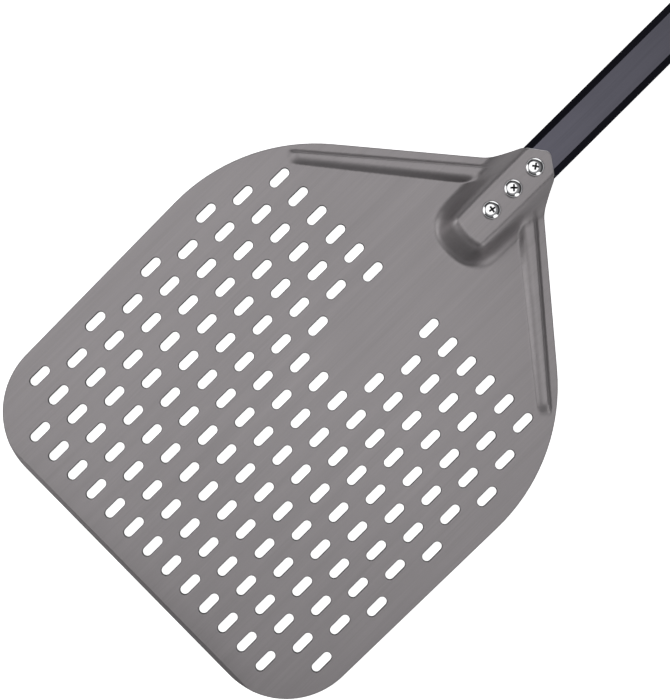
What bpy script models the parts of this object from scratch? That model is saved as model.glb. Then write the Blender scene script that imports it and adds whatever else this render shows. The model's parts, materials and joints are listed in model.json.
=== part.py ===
"""Pizza peel: a perforated, pressed aluminium blade screwed to a flat tubular handle.

The handle ends in a moulded grip, and a wire loop swings on its end cap to hang the peel by.
Distances along the peel are measured from the front edge of the blade, and z is height above
the underside of the blade.
"""

import math

import bmesh
import bpy
from mathutils import Vector
from mathutils.geometry import delaunay_2d_cdt, intersect_point_line

MM = 0.001
GAP = 0.3 * MM
PEEL_LENGTH = 700 * MM

# Blade: a flat sheet with a straight front edge, long sides and a shoulder that narrows to the neck.
SHEET = 2.0 * MM
SIDE_AT_FRONT = 149 * MM
FRONT_RADIUS = 54 * MM
SHOULDER = (257.6 * MM, 154.5 * MM)
SHOULDER_RADIUS = 131 * MM
NECK = (365.8 * MM, 26.6 * MM)
NECK_RADIUS = 36 * MM
TONGUE = (382.6 * MM, 15.2 * MM)
TONGUE_RADIUS = 1 * MM
TONGUE_TIP = 393.8 * MM
TIP_RADIUS = 4.5 * MM
BEVEL_WIDTH = 3 * MM
BEVEL_DROP = 0.9 * MM
BEVEL_HALF_LENGTH = 111 * MM
NECK_EDGE_STEP = 5 * MM

# Slots: staggered rows, left out near the outline and on a plain patch ahead of the socket.
SLOT_LENGTH = 16.0 * MM
SLOT_WIDTH = 6.15 * MM
SLOT_ROWS = 10
REAR_ROW = 256.5 * MM
ROW_PITCH = 25.87 * MM
SLOT_PITCH = 17.8 * MM
SLOT_MARGIN = 10 * MM
PATCH_START = 190 * MM
PATCH_HALF_WIDTH = 22 * MM

# Socket: a hump pressed up out of the sheet, so that the tube lies under it. Each slope has its
# length, and the lengths of the rounded stretches at its foot and at its crest.
SOCKET_START = 299.5 * MM
SOCKET_FRONT_SLOPE = (18.5 * MM, 5 * MM, 7 * MM)
SOCKET_FRONT_BOW = 80 * MM
SOCKET_TOP_HALF_WIDTH = 10.8 * MM
SOCKET_SIDE_SLOPE = (17 * MM, 10.5 * MM, 5.5 * MM)
SOCKET_SKIRT = 0.08
SOCKET_SKIRT_SLOPE = (22 * MM, 7 * MM, 5 * MM)
SOCKET_TAPER = 3 * MM
SOCKET_TAPER_LENGTH = 14 * MM
SOCKET_GRID = 4.5 * MM
SOCKET_COLUMNS = 10

# Ribs: a bead pressed along each shoulder, higher and wider towards the neck. It is steep on its
# outer side and softer on its inner side, and the slopes are given as the socket's are.
RIB_ROUTE = [(269.8 * MM, 124 * MM), (363.5 * MM, 12.9 * MM)]
RIB_HEIGHT = (2.6 * MM, 4.2 * MM)
RIB_OUTER_HALF = (4.6 * MM, 5.8 * MM)
RIB_INNER_HALF = (6.0 * MM, 9.0 * MM)
RIB_OUTER_SLOPE = (3.2 * MM, 0.8 * MM, 2.2 * MM)
RIB_INNER_SLOPE = (7.4 * MM, 1.4 * MM, 5.8 * MM)
RIB_END_SLOPE = (11 * MM, 4 * MM, 5 * MM)
RIB_STATION = 8 * MM

# Handle tube: a flat tube with chamfered corners.
TUBE_WIDTH = 29 * MM
TUBE_HEIGHT = 15 * MM
TUBE_CHAMFER_WIDTH = 4.65 * MM
TUBE_CHAMFER_HEIGHT = 3.6 * MM
TUBE_EDGE = 0.6 * MM
TUBE_WALL = 1.5 * MM
TUBE_BOTTOM = 2.5 * MM
TUBE_FRONT = 324 * MM
TUBE_REAR = 655 * MM
TUBE_MIDDLE = TUBE_BOTTOM + TUBE_HEIGHT / 2
TUBE_TOP = TUBE_BOTTOM + TUBE_HEIGHT
SOCKET_HEIGHT = TUBE_TOP + GAP

# Neck screws and the barrel nuts they close on.
NECK_SCREWS = {"front": 338.6 * MM, "middle": 358.7 * MM, "rear": 378.8 * MM}
NECK_HOLE_RADIUS = 3.3 * MM
SCREW_HEAD_RADIUS = 6.25 * MM
SCREW_HEAD_HEIGHT = 3.2 * MM
SCREW_HEAD_EDGE = 0.7 * MM
SCREW_SHANK_RADIUS = 2.0 * MM
SCREW_SHANK_LENGTH = 12 * MM
RECESS_SPAN = 6.6 * MM
RECESS_WIDTH = 1.3 * MM
RECESS_DEPTH = 2.0 * MM
NUT_HEAD_RADIUS = 5.5 * MM
NUT_HEAD_BOTTOM = 0.5 * MM
NUT_BARREL_RADIUS = 3.0 * MM
NUT_TOP = SOCKET_HEIGHT + SHEET - GAP
NUT_BORE_RADIUS = SCREW_SHANK_RADIUS + GAP
NUT_BORE_FLOOR = 1.6 * MM
NUT_SLOT_WIDTH = 1.4 * MM
NUT_SLOT_DEPTH = 0.7 * MM

# Plug in the front end of the tube.
PLUG_FLANGE = 1.5 * MM
PLUG_LENGTH = 9 * MM

# Grip, end cap and the screw that holds the cap in the tube.
GRIP_FRONT = 535 * MM
GRIP_WIDTH = 34 * MM
GRIP_HEIGHT = 19 * MM
GRIP_CORNER = 7 * MM
CAP_REAR = 672 * MM
CAP_SPIGOT = 20 * MM
CAP_EDGE = 3 * MM
CAP_SCREW = 645 * MM
CAP_SCREW_HEAD_RADIUS = 3.2 * MM
CAP_SCREW_HEAD_BOTTOM = 0.9 * MM
CAP_SCREW_SHANK_RADIUS = 1.5 * MM
CAP_SCREW_TOP = 10 * MM

# Hanging loop: a wire bail whose two ends turn in the end cap.
LOOP_PIVOT = 664 * MM
LOOP_WIRE_RADIUS = 1.6 * MM
LOOP_BOTTOM = 0.2 * MM
LOOP_DROP = TUBE_MIDDLE - LOOP_WIRE_RADIUS - LOOP_BOTTOM
LOOP_REACH = math.hypot(PEEL_LENGTH - LOOP_WIRE_RADIUS - LOOP_PIVOT, LOOP_DROP)
LOOP_HALF_WIDTH = 20.8 * MM
LOOP_BEND = 3.5 * MM
LOOP_END_BEND = 14 * MM
LOOP_END_IN_CAP = 8 * MM

ARC_STEP = math.radians(9)
FINE_ARC_STEP = math.radians(23)
ROUND_SIDES = 24
ALONG_PEEL = (math.pi / 2, 0, math.pi / 2)
ACROSS_PEEL = (math.pi / 2, 0, 0)


# Scene, collections and materials


def clear_scene():
    for old in list(bpy.data.objects):
        bpy.data.objects.remove(old, do_unlink=True)


def new_collection(name):
    collection = bpy.data.collections.new(name)
    bpy.context.scene.collection.children.link(collection)
    return collection


def new_material(name, colour, roughness, metallic):
    material = bpy.data.materials.new(name)
    material.use_nodes = True
    shader = material.node_tree.nodes["Principled BSDF"]
    shader.inputs["Base Color"].default_value = (*colour, 1)
    shader.inputs["Roughness"].default_value = roughness
    shader.inputs["Metallic"].default_value = metallic
    material.diffuse_color = (*colour, 1)
    return material


clear_scene()
PARTS = new_collection("pizza_peel")
CUTTERS = new_collection("cutters")
PEEL_FRAME = bpy.data.objects.new("peel_frame", None)
PEEL_FRAME.location = (-PEEL_LENGTH / 2, 0, 0)
PARTS.objects.link(PEEL_FRAME)


def add_part(name, mesh, material, location=(0, 0, 0), rotation=(0, 0, 0)):
    """A piece of the peel, placed from the front edge of the blade."""
    mesh.materials.append(material)
    part = bpy.data.objects.new(name, mesh)
    PARTS.objects.link(part)
    part.parent = PEEL_FRAME
    part.location = location
    part.rotation_euler = rotation
    return part


def add_helper(name, mesh, location=(0, 0, 0), rotation=(0, 0, 0)):
    """A cutter or a second half for a Boolean, which isn't a piece itself."""
    helper = bpy.data.objects.new(name, mesh)
    CUTTERS.objects.link(helper)
    helper.parent = PEEL_FRAME
    helper.location = location
    helper.rotation_euler = rotation
    helper.hide_render = True
    helper.display_type = "WIRE"
    return helper


def combine(part, helper, operation="DIFFERENCE"):
    boolean = part.modifiers.new(f"{operation.lower()}_{helper.name}", "BOOLEAN")
    boolean.operation = operation
    boolean.object = helper


def smooth_shade(mesh, angle=math.radians(40)):
    mesh.shade_smooth()
    mesh.set_sharp_from_angle(angle=angle)


# Outlines and plain solids


def rounded_path(corners, step=ARC_STEP):
    """A closed outline through corners given as (x, y, radius), each rounded by an arc."""
    path = []
    for index, (x, y, radius) in enumerate(corners):
        corner = Vector((x, y))
        if radius == 0:
            path.append(corner)
            continue
        before = (Vector(corners[index - 1][:2]) - corner).normalized()
        after = (Vector(corners[(index + 1) % len(corners)][:2]) - corner).normalized()
        opening = before.angle(after)
        middle = corner + (before + after).normalized() * radius / math.sin(opening / 2)
        tangent_length = radius / math.tan(opening / 2)
        start = corner + before * tangent_length - middle
        end = corner + after * tangent_length - middle
        pieces = max(1, math.ceil((math.pi - opening) / step))
        path += [middle + radius * start.slerp(end, piece / pieces) for piece in range(pieces + 1)]
    return path


def rounded_rectangle(width, height, radius):
    x, y = width / 2, height / 2
    corners = [(x, -y, radius), (x, y, radius), (-x, y, radius), (-x, -y, radius)]
    return rounded_path(corners, FINE_ARC_STEP)


def circle(centre, radius, sides):
    turns = [2 * math.pi * side / sides for side in range(sides)]
    return [Vector(centre) + radius * Vector((math.cos(turn), math.sin(turn))) for turn in turns]


def clearance(point, outline):
    """Distance from a point to a closed outline, negative when the point is outside."""
    inside = False
    nearest = math.inf
    for start, end in zip(outline, outline[1:] + outline[:1]):
        if (start.y > point.y) != (end.y > point.y):
            crossing = start.x + (point.y - start.y) * (end.x - start.x) / (end.y - start.y)
            inside ^= point.x < crossing
        along = intersect_point_line(point, start, end)[1]
        foot = start.lerp(end, min(max(along, 0), 1))
        nearest = min(nearest, (foot - point).length)
    return nearest if inside else -nearest


def extruded_plan(rings, height, inner_points=(), creases=()):
    """A closed plate on z = 0. The first ring is its outline and the others are convex holes."""
    points = [point for ring in rings for point in ring]
    loops = []
    for ring in rings:
        first = sum(len(loop) for loop in loops)
        loops.append(list(range(first, first + len(ring))))
    edges = []
    for crease in creases:
        edges.append((len(points), len(points) + 1))
        points += crease
    points += inner_points
    found, _, faces, sources, _, _ = delaunay_2d_cdt(points, edges, loops, 1, 1e-7)
    hole_of = {point: number for number, loop in enumerate(loops[1:], 1) for point in loop}
    plan = bmesh.new()
    corners = [plan.verts.new((point.x, point.y, 0)) for point in found]
    for face in faces:
        on_holes = {hole_of.get(sources[corner][0]) for corner in face}
        if None in on_holes or len(on_holes) > 1:
            plan.faces.new([corners[corner] for corner in face])
    loose = [corner for corner in plan.verts if not corner.link_faces]
    bmesh.ops.delete(plan, geom=loose, context="VERTS")
    raised = bmesh.ops.extrude_face_region(plan, geom=plan.faces[:])["geom"]
    raised = [item for item in raised if isinstance(item, bmesh.types.BMVert)]
    bmesh.ops.translate(plan, verts=raised, vec=(0, 0, height))
    bmesh.ops.recalc_face_normals(plan, faces=plan.faces[:])
    return plan


def finished_mesh(name, solid, smooth=True):
    mesh = bpy.data.meshes.new(name)
    solid.to_mesh(mesh)
    solid.free()
    if smooth:
        smooth_shade(mesh)
    return mesh


def cylinder_mesh(name, radius, depth, sides=ROUND_SIDES):
    solid = bmesh.new()
    bmesh.ops.create_cone(
        solid, cap_ends=True, segments=sides, radius1=radius, radius2=radius, depth=depth
    )
    return finished_mesh(name, solid)


def box_mesh(name, size):
    solid = bmesh.new()
    bmesh.ops.create_cube(solid, size=1)
    bmesh.ops.scale(solid, verts=solid.verts, vec=size)
    return finished_mesh(name, solid, smooth=False)


def turned_part(name, profile, material, location):
    """A piece turned about z. The profile is (radius, z) from the top of the axis to its foot."""
    mesh = bpy.data.meshes.new(name)
    points = [(radius, 0, z) for radius, z in profile]
    mesh.from_pydata(points, [(i, i + 1) for i in range(len(points) - 1)], [])
    part = add_part(name, mesh, material, location)
    screw = part.modifiers.new("turned", "SCREW")
    screw.steps = ROUND_SIDES
    screw.render_steps = ROUND_SIDES
    screw.use_merge_vertices = True
    screw.merge_threshold = 0.01 * MM
    screw.use_smooth_shade = True
    return part


# Blade


def blade_corners():
    """The right half of the outline and its mirror image, as corners to be rounded."""
    half = [
        (0, SIDE_AT_FRONT, FRONT_RADIUS),
        (*SHOULDER, SHOULDER_RADIUS),
        (*NECK, NECK_RADIUS),
        (*TONGUE, TONGUE_RADIUS),
    ]
    mirrored = [(x, -y, radius) for x, y, radius in reversed(half)]
    return half + [(TONGUE_TIP, 0, TIP_RADIUS)] + mirrored


def blade_outline():
    """The plan of the blade, with closer points where the edge climbs to the neck."""
    path = rounded_path(blade_corners())
    outline = []
    for start, end in zip(path, path[1:] + path[:1]):
        outline.append(start)
        if min(start.x, end.x) < SOCKET_START:
            continue
        pieces = math.ceil((end - start).length / NECK_EDGE_STEP)
        outline += [start.lerp(end, piece / pieces) for piece in range(1, pieces)]
    return outline


def slot(centre):
    """A stadium with its long side along the peel."""
    points = []
    for end in (-1, 1):
        middle = Vector(centre) + Vector((end * (SLOT_LENGTH - SLOT_WIDTH) / 2, 0))
        for degrees in (-90, -30, 30, 90):
            turn = math.radians(degrees)
            points.append(middle + end * SLOT_WIDTH / 2 * Vector((math.cos(turn), math.sin(turn))))
    return points


def slot_centres(outline):
    """Every place of the staggered pattern that keeps its margin to the outline."""
    end_offset = Vector((SLOT_LENGTH / 2 - SLOT_WIDTH / 2, 0))
    margin = SLOT_MARGIN + SLOT_WIDTH / 2
    centres = []
    for row in range(SLOT_ROWS):
        x = REAR_ROW - row * ROW_PITCH
        shift = 0 if row % 2 else 0.5
        for column in range(-9, 10):
            centre = Vector((x, (column + shift) * SLOT_PITCH))
            if x > PATCH_START and abs(centre.y) < PATCH_HALF_WIDTH:
                continue
            if min(clearance(centre + side * end_offset, outline) for side in (-1, 1)) > margin:
                centres.append(centre)
    return centres


def slope(distance, length, foot, crest):
    """Height from 0 to 1 up a slope whose foot and crest are rounded by parabolas."""
    steepness = 1 / (length - foot / 2 - crest / 2)
    distance = min(max(distance, 0), length)
    if distance < foot:
        return steepness * distance**2 / (2 * foot)
    if distance > length - crest:
        return 1 - steepness * (length - distance) ** 2 / (2 * crest)
    return steepness * (distance - foot / 2)


def socket_height(x, y):
    """The socket's flat top, its steep flanks and front, and the shallow skirt at its sides."""
    start = SOCKET_START + y**2 / SOCKET_FRONT_BOW
    along = slope(x - start, *SOCKET_FRONT_SLOPE)
    taper = SOCKET_TAPER * math.exp((SOCKET_START - x) / SOCKET_TAPER_LENGTH)
    edge = SOCKET_TOP_HALF_WIDTH - taper - abs(y)
    flank = slope(edge + SOCKET_SIDE_SLOPE[0], *SOCKET_SIDE_SLOPE)
    skirt = slope(edge + SOCKET_SKIRT_SLOPE[0], *SOCKET_SKIRT_SLOPE)
    return SOCKET_HEIGHT * along * (flank + SOCKET_SKIRT * (skirt - flank))


def between(pair, fraction):
    return pair[0] + (pair[1] - pair[0]) * fraction


def rib_line():
    """Where a rib starts, its direction and its length, on the side where y is positive."""
    start, end = (Vector(corner) for corner in RIB_ROUTE)
    return start, (end - start).normalized(), (end - start).length


def rib_place(x, y):
    """How far along its rib a point lies, and how far it lies towards the edge of the blade."""
    start, along, _ = rib_line()
    offset = Vector((x, abs(y))) - start
    return offset.dot(along), offset.y * along.x - offset.x * along.y


def rib_height(x, y):
    length = rib_line()[2]
    distance, outward = rib_place(x, y)
    fraction = min(max(distance / length, 0), 1)
    outer = slope(between(RIB_OUTER_HALF, fraction) - outward, *RIB_OUTER_SLOPE)
    inner = slope(between(RIB_INNER_HALF, fraction) + outward, *RIB_INNER_SLOPE)
    ends = slope(distance, *RIB_END_SLOPE) * slope(length - distance, *RIB_END_SLOPE)
    return between(RIB_HEIGHT, fraction) * outer * inner * ends


def pressed_height(x, y):
    """How far the sheet is pressed up: the socket and the ribs, blended where they meet."""
    return (socket_height(x, y) ** 2 + rib_height(x, y) ** 2) ** 0.5


def rib_points(side):
    """Points on the crest, flanks and feet of one rib, as far as the socket's own points."""
    start, along, length = rib_line()
    stations = math.ceil(length / RIB_STATION)
    points = []
    for station in range(stations):
        fraction = station / stations
        centre = start + along * length * fraction
        for inner_share, outer_share in ((1, 0), (0.6, 0), (0.25, 0), (0, 0.1), (0, 0.5), (0, 1)):
            outward = outer_share * between(RIB_OUTER_HALF, fraction)
            outward -= inner_share * between(RIB_INNER_HALF, fraction)
            place = centre + Vector((-along.y, along.x)) * outward
            if place.y > SOCKET_TOP_HALF_WIDTH + SOCKET_SKIRT_SLOPE[0]:
                points.append(Vector((place.x, side * place.y)))
    return points


def socket_points():
    """A grid over the socket and the ends of the ribs that run into it."""
    flank = SOCKET_SKIRT_SLOPE[0] / SOCKET_COLUMNS
    columns = [0, SOCKET_TOP_HALF_WIDTH / 2]
    columns += [SOCKET_TOP_HALF_WIDTH + flank * column for column in range(SOCKET_COLUMNS + 1)]
    rows = math.ceil((TONGUE_TIP - SOCKET_START) / SOCKET_GRID)
    points = []
    for row in range(rows):
        for y in {side * column for column in columns for side in (-1, 1)}:
            points.append(Vector((SOCKET_START + row * SOCKET_GRID, y)))
    return sorted(points, key=tuple)


def make_blade(material):
    outline = blade_outline()
    slots = [slot(centre) for centre in slot_centres(outline)]
    screw_holes = [circle((x, 0), NECK_HOLE_RADIUS, 12) for x in NECK_SCREWS.values()]
    inner = rib_points(1) + rib_points(-1) + socket_points()
    inner = [
        point
        for point in inner
        if clearance(point, outline) > 1.2 * MM
        and all((point - Vector((x, 0))).length > 1.5 * NECK_HOLE_RADIUS for x in NECK_SCREWS.values())
    ]
    bevel_line = [
        Vector((BEVEL_WIDTH, -BEVEL_HALF_LENGTH)),
        Vector((BEVEL_WIDTH, BEVEL_HALF_LENGTH)),
    ]
    sheet = extruded_plan([outline, *slots, *screw_holes], SHEET, inner, [bevel_line])
    for corner in sheet.verts:
        x, y, z = corner.co
        if z > SHEET / 2:
            corner.co.z -= BEVEL_DROP * max(0, 1 - x / BEVEL_WIDTH)
        corner.co.z += pressed_height(x, y)
    return add_part("blade", finished_mesh("blade", sheet), material)


# Handle


def tube_section(shrink=0):
    """The outline of the flat tube with its chamfered corners, made smaller all round by shrink."""
    tilt = math.atan2(TUBE_CHAMFER_HEIGHT, TUBE_CHAMFER_WIDTH)
    x, y = TUBE_WIDTH / 2 - shrink, TUBE_HEIGHT / 2 - shrink
    flat = TUBE_WIDTH / 2 - TUBE_CHAMFER_WIDTH - shrink * math.tan(tilt / 2)
    side = TUBE_HEIGHT / 2 - TUBE_CHAMFER_HEIGHT - shrink * math.tan((math.pi / 2 - tilt) / 2)
    quarter = [(x, side), (flat, y)]
    upper = quarter + [(-px, py) for px, py in reversed(quarter)]
    lower = [(-px, -py) for px, py in upper]
    return rounded_path([(*corner, TUBE_EDGE) for corner in upper + lower], FINE_ARC_STEP)


def make_tube(material):
    solid = extruded_plan([tube_section(), tube_section(TUBE_WALL)], TUBE_REAR - TUBE_FRONT)
    mesh = finished_mesh("handle_tube", solid)
    tube = add_part("handle_tube", mesh, material, (TUBE_FRONT, 0, TUBE_MIDDLE), ALONG_PEEL)
    for name, x in NECK_SCREWS.items():
        hole = cylinder_mesh(f"tube_hole_{name}", NECK_HOLE_RADIUS, 2 * TUBE_HEIGHT)
        combine(tube, add_helper(f"tube_hole_{name}", hole, (x, 0, TUBE_MIDDLE)))
    hole = cylinder_mesh("tube_hole_cap", CAP_SCREW_SHANK_RADIUS + GAP, TUBE_HEIGHT)
    combine(tube, add_helper("tube_hole_cap", hole, (CAP_SCREW, 0, TUBE_BOTTOM)))
    return tube


def plug_spigot(name, length, location):
    spigot = extruded_plan([tube_section(TUBE_WALL + GAP)], length)
    return add_helper(name, finished_mesh(name, spigot), location, ALONG_PEEL)


def make_front_plug(material):
    flange = finished_mesh("tube_front_plug", extruded_plan([tube_section()], PLUG_FLANGE))
    front = TUBE_FRONT - GAP - PLUG_FLANGE
    plug = add_part("tube_front_plug", flange, material, (front, 0, TUBE_MIDDLE), ALONG_PEEL)
    inside = front + PLUG_FLANGE / 2
    combine(plug, plug_spigot("front_spigot", PLUG_LENGTH, (inside, 0, TUBE_MIDDLE)), "UNION")
    return plug


def make_neck_screw(place, x, material):
    """A domed pan head with a cross recess, on a plain shank."""
    rim = SCREW_HEAD_HEIGHT - SCREW_HEAD_EDGE
    profile = [(0, SCREW_HEAD_HEIGHT)]
    for degrees in (20, 40, 60, 78, 90):
        turn = math.radians(degrees)
        profile.append((SCREW_HEAD_RADIUS * math.sin(turn), SCREW_HEAD_EDGE + rim * math.cos(turn)))
    profile += [
        (SCREW_HEAD_RADIUS, 0),
        (SCREW_SHANK_RADIUS, 0),
        (SCREW_SHANK_RADIUS, -SCREW_SHANK_LENGTH),
        (0, -SCREW_SHANK_LENGTH),
    ]
    seat = SOCKET_HEIGHT + SHEET + GAP
    screw = turned_part(f"neck_screw_{place}", profile, material, (x, 0, seat))
    middle = seat + SCREW_HEAD_HEIGHT
    for number, size in enumerate(
        [(RECESS_SPAN, RECESS_WIDTH, 2 * RECESS_DEPTH), (RECESS_WIDTH, RECESS_SPAN, 2 * RECESS_DEPTH)]
    ):
        name = f"recess_{place}_{number}"
        combine(screw, add_helper(name, box_mesh(name, size), (x, 0, middle)))
    return screw


def make_barrel_nut(place, x, material):
    """A slotted head under the tube, with a barrel that carries the screw's thread."""
    profile = [
        (0, NUT_BORE_FLOOR),
        (NUT_BORE_RADIUS, NUT_BORE_FLOOR),
        (NUT_BORE_RADIUS, NUT_TOP),
        (NUT_BARREL_RADIUS, NUT_TOP),
        (NUT_BARREL_RADIUS, TUBE_BOTTOM - GAP),
        (NUT_HEAD_RADIUS, TUBE_BOTTOM - GAP),
        (NUT_HEAD_RADIUS, NUT_HEAD_BOTTOM + 0.6 * MM),
        (NUT_HEAD_RADIUS - 1 * MM, NUT_HEAD_BOTTOM),
        (0, NUT_HEAD_BOTTOM),
    ]
    nut = turned_part(f"barrel_nut_{place}", profile, material, (x, 0, 0))
    size = (3 * NUT_HEAD_RADIUS, NUT_SLOT_WIDTH, 2 * NUT_SLOT_DEPTH)
    name = f"nut_slot_{place}"
    combine(nut, add_helper(name, box_mesh(name, size), (x, 0, NUT_HEAD_BOTTOM)))
    return nut


def make_grip(material):
    section = rounded_rectangle(GRIP_WIDTH, GRIP_HEIGHT, GRIP_CORNER)
    solid = extruded_plan([section, tube_section(-GAP)], TUBE_REAR - GRIP_FRONT)
    mesh = finished_mesh("grip", solid)
    grip = add_part("grip", mesh, material, (GRIP_FRONT, 0, TUBE_MIDDLE), ALONG_PEEL)
    hole = cylinder_mesh("grip_hole", CAP_SCREW_HEAD_RADIUS + GAP, TUBE_HEIGHT)
    combine(grip, add_helper("grip_hole", hole, (CAP_SCREW, 0, 0)))
    return grip


def round_far_rim(solid, height, radius):
    """Rounds the rim of an extruded plan at its far end."""
    rim = [
        edge
        for edge in solid.edges
        if all(corner.co.z > height / 2 for corner in edge.verts)
        and edge.calc_face_angle() > math.radians(60)
    ]
    bmesh.ops.bevel(solid, geom=rim, offset=radius, segments=3, profile=0.5, affect="EDGES")


def make_end_cap(material):
    """A head that closes the grip, with the loop's hole across it and a spigot in the tube."""
    front = TUBE_REAR + GAP
    section = rounded_rectangle(GRIP_WIDTH, GRIP_HEIGHT, GRIP_CORNER)
    head = extruded_plan([section], CAP_REAR - front)
    round_far_rim(head, CAP_REAR - front, CAP_EDGE)
    mesh = finished_mesh("end_cap", head)
    cap = add_part("end_cap", mesh, material, (front, 0, TUBE_MIDDLE), ALONG_PEEL)
    spigot_front = front - CAP_SPIGOT
    length = CAP_SPIGOT + (CAP_REAR - front) / 4
    spigot = plug_spigot("cap_spigot", length, (spigot_front, 0, TUBE_MIDDLE))
    combine(cap, spigot, "UNION")
    hole = cylinder_mesh("loop_hole", LOOP_WIRE_RADIUS + GAP, 2 * GRIP_WIDTH)
    combine(cap, add_helper("loop_hole", hole, (LOOP_PIVOT, 0, TUBE_MIDDLE), ACROSS_PEEL))
    depth = 2 * (CAP_SCREW_TOP + GAP)
    hole = cylinder_mesh("cap_pilot", CAP_SCREW_SHANK_RADIUS + GAP, depth)
    combine(cap, add_helper("cap_pilot", hole, (CAP_SCREW, 0, 0)))
    return cap


def make_cap_screw(material):
    """A flat head below, sunk in the grip, and a shank up into the cap's spigot."""
    profile = [
        (0, CAP_SCREW_TOP),
        (CAP_SCREW_SHANK_RADIUS, CAP_SCREW_TOP),
        (CAP_SCREW_SHANK_RADIUS, TUBE_BOTTOM - GAP),
        (CAP_SCREW_HEAD_RADIUS, TUBE_BOTTOM - GAP),
        (CAP_SCREW_HEAD_RADIUS, CAP_SCREW_HEAD_BOTTOM),
        (0, CAP_SCREW_HEAD_BOTTOM),
    ]
    return turned_part("end_cap_screw", profile, material, (CAP_SCREW, 0, 0))


# Hanging loop


def loop_route():
    """The wire's centreline in the plane of the loop: x away from the pivot, y across."""
    half = [
        (0, LOOP_HALF_WIDTH, LOOP_BEND),
        (LOOP_REACH, LOOP_HALF_WIDTH, LOOP_END_BEND),
    ]
    corners = [(0, LOOP_END_IN_CAP, 0), *half]
    corners += [(x, -y, radius) for x, y, radius in reversed(half)]
    corners += [(0, -LOOP_END_IN_CAP, 0)]
    return rounded_path(corners, math.radians(18))


def make_hang_loop(material):
    """The loop hangs down behind the cap until its end all but rests on the ground."""
    curve = bpy.data.curves.new("hang_loop", "CURVE")
    curve.dimensions = "3D"
    curve.bevel_depth = LOOP_WIRE_RADIUS
    curve.bevel_resolution = 2
    curve.use_fill_caps = True
    route = loop_route()
    spline = curve.splines.new("POLY")
    spline.points.add(len(route) - 1)
    for point, place in zip(spline.points, route):
        point.co = (place.x, place.y, 0, 1)
    spline.use_smooth = True
    curve.materials.append(material)
    loop = bpy.data.objects.new("hang_loop", curve)
    PARTS.objects.link(loop)
    loop.parent = PEEL_FRAME
    loop.location = (LOOP_PIVOT, 0, TUBE_MIDDLE)
    loop.rotation_euler = (0, math.asin(LOOP_DROP / LOOP_REACH), 0)
    return loop


def make_peel():
    anodised = new_material("hard_anodised_aluminium", (0.29, 0.28, 0.28), 0.42, 0.9)
    black_tube = new_material("black_anodised_tube", (0.045, 0.043, 0.05), 0.4, 0.6)
    chrome = new_material("chromed_steel", (0.75, 0.75, 0.76), 0.12, 1.0)
    nut_steel = new_material("plated_steel", (0.55, 0.55, 0.56), 0.3, 1.0)
    plastic = new_material("black_plastic", (0.02, 0.02, 0.022), 0.5, 0.0)
    rubber = new_material("black_rubber", (0.025, 0.025, 0.027), 0.7, 0.0)
    stainless = new_material("stainless_wire", (0.6, 0.6, 0.6), 0.25, 1.0)
    make_blade(anodised)
    make_tube(black_tube)
    make_front_plug(plastic)
    for place, x in NECK_SCREWS.items():
        make_neck_screw(place, x, chrome)
        make_barrel_nut(place, x, nut_steel)
    make_grip(rubber)
    make_end_cap(plastic)
    make_cap_screw(nut_steel)
    make_hang_loop(stainless)


make_peel()
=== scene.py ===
"""Looks of the pizza peel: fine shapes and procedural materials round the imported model.

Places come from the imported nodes' boxes. On the blade, distances run from its front edge.
"""

import json
import math

import bmesh
import bpy
import numpy as np
from mathutils import Matrix, Vector
from mathutils.geometry import delaunay_2d_cdt


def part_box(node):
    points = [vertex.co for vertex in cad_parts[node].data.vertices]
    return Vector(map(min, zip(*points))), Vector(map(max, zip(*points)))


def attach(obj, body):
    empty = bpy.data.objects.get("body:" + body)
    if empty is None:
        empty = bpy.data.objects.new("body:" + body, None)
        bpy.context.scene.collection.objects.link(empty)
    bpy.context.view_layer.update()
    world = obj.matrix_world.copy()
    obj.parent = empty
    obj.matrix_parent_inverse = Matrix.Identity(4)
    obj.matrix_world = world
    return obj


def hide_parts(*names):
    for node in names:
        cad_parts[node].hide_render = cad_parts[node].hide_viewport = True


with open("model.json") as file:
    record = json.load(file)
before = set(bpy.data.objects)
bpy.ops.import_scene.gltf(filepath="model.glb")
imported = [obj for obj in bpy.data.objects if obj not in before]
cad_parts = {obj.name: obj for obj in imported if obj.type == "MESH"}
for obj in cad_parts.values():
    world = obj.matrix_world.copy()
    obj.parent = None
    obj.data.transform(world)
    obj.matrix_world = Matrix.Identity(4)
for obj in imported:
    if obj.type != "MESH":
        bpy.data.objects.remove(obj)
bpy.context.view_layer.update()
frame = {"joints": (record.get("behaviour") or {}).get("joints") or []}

MM = 0.001
PEEL = "peel"
LOOP = "loop"
QUARTER = math.pi / 2
GAP = 0.3 * MM

# Plan of the blade, as in the model: corners of half its outline as (x, y, radius).
SHEET = 2 * MM
HALF_OUTLINE = [
    (0, 149 * MM, 54 * MM),
    (257.6 * MM, 154.5 * MM, 131 * MM),
    (365.8 * MM, 26.6 * MM, 36 * MM),
    (382.6 * MM, 15.2 * MM, 1.5 * MM),
]
TONGUE_TIP = (393.8 * MM, 0, 4.5 * MM)
TONGUE_START = 383.5 * MM
BEVEL_WIDTH = 3 * MM
BEVEL_DROP = 0.9 * MM
BEVEL_STEP = (0.5 * MM, 0.45 * MM)
BEVEL_HALF_LENGTH = 109 * MM

SLOT_LENGTH = 16 * MM
SLOT_RADIUS = 3.075 * MM
SLOT_ROWS = 10
SLOT_COLUMNS = 9
REAR_ROW = 256.5 * MM
ROW_PITCH = 25.87 * MM
SLOT_PITCH = 17.8 * MM
SLOT_MARGIN = 10 * MM
PATCH_START = 190 * MM
PATCH_HALF_WIDTH = 22 * MM

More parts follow.
